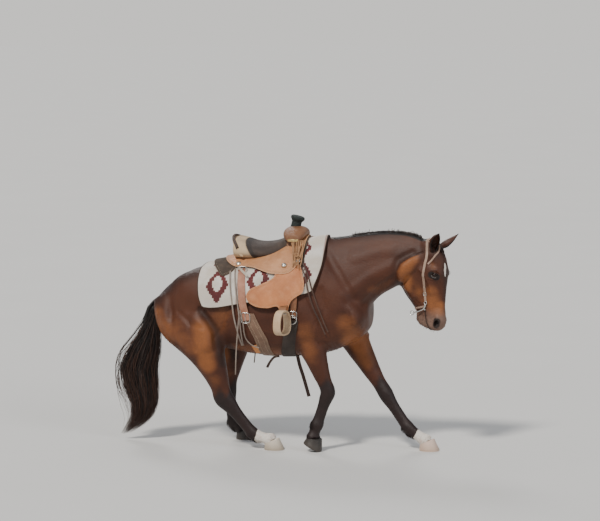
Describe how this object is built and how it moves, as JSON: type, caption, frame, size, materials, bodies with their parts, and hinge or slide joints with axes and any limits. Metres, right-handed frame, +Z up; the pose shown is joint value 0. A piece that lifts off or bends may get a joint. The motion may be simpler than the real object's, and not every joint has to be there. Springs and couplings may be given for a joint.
{
  "type": "quarter horse",
  "caption": "Life-size western riding horse in a sliding stop, saddled and bridled without reins; a standing animal figure for ranch, arena and museum scenes.",
  "frame": {"origin": "On the floor, under the middle of the whole model's bounding box", "axes": "+X is the way the horse faces, +Y is its left side and +Z is up"},
  "size_m": [2.2922, 0.9112, 1.5301],
  "materials": {
    "bay_coat": "short glossy red-brown coat",
    "black_points": "short black coat of the lower legs",
    "white_sock": "short white coat",
    "black_hair": "long coarse black hair, slightly glossy",
    "eye": "wet dark brown eye",
    "hoof_dark": "dark horn",
    "hoof_grey": "grey-brown horn",
    "hoof_pale": "pinkish white horn",
    "blanket_weave": "woven wool, cream with maroon figures",
    "saddle_leather": "oiled russet leather",
    "seat_leather": "smooth tan leather",
    "fender_leather": "orange-brown leather with tooled border",
    "horn_wrap": "dark wrapping",
    "stirrup_wrap": "cream and tan leather wrapping",
    "strap_leather": "rosy tan strap",
    "string_tan": "soft tan thong",
    "cinch_brown": "dark brown strap",
    "bridle_leather": "dark russet strap",
    "steel": "worn steel"
  },
  "bodies": {
    "root": {"bit": "steel", "cinch_link": "bridle_leather", "curb_strap": "bridle_leather", "ear_left": "bay_coat", "ear_right": "bay_coat", "eye_left": "eye", "eye_right": "eye", "fender_left": "fender_leather", "fender_right": "fender_leather", "fore_left_cannon": "black_points", "fore_left_pastern": "white_sock", "fore_left_upper": "bay_coat", "fore_right_cannon": "black_points", "fore_right_pastern": "black_points", "fore_right_upper": "bay_coat", "forelock": "black_hair", "front_cinch": "cinch_brown", "front_string_left": "string_tan", "front_string_right": "string_tan", "head": "bay_coat", "headstall": "bridle_leather", "hind_left_cannon": "black_points", "hind_left_pastern": "black_points", "hind_left_upper": "bay_coat", "hind_right_cannon": "black_points", "hind_right_pastern": "white_sock", "hind_right_upper": "bay_coat", "hoof_fore_left": "hoof_pale", "hoof_fore_right": "hoof_dark", "hoof_hind_left": "hoof_dark", "hoof_hind_right": "hoof_grey", "latigo_end": "strap_leather", "latigo_left": "strap_leather", "latigo_right": "strap_leather", "mane": "black_hair", "neck": "bay_coat", "rear_billet_left": "strap_leather", "rear_billet_right": "strap_leather", "rear_cinch": "cinch_brown", "rear_string_left": "string_tan", "rear_string_right": "string_tan", "rigging_ring_left": "steel", "rigging_ring_right": "steel", "saddle_blanket": "blanket_weave", "saddle_cantle": "saddle_leather", "saddle_fork": "saddle_leather", "saddle_horn": "horn_wrap", "saddle_seat": "seat_leather", "saddle_skirt": "saddle_leather", "seat_jockey": "saddle_leather", "stirrup_leather_left": "saddle_leather", "stirrup_leather_right": "saddle_leather", "stirrup_left": "stirrup_wrap", "stirrup_right": "stirrup_wrap", "tail": "black_hair", "torso": "bay_coat"}
  },
  "joints": []
}
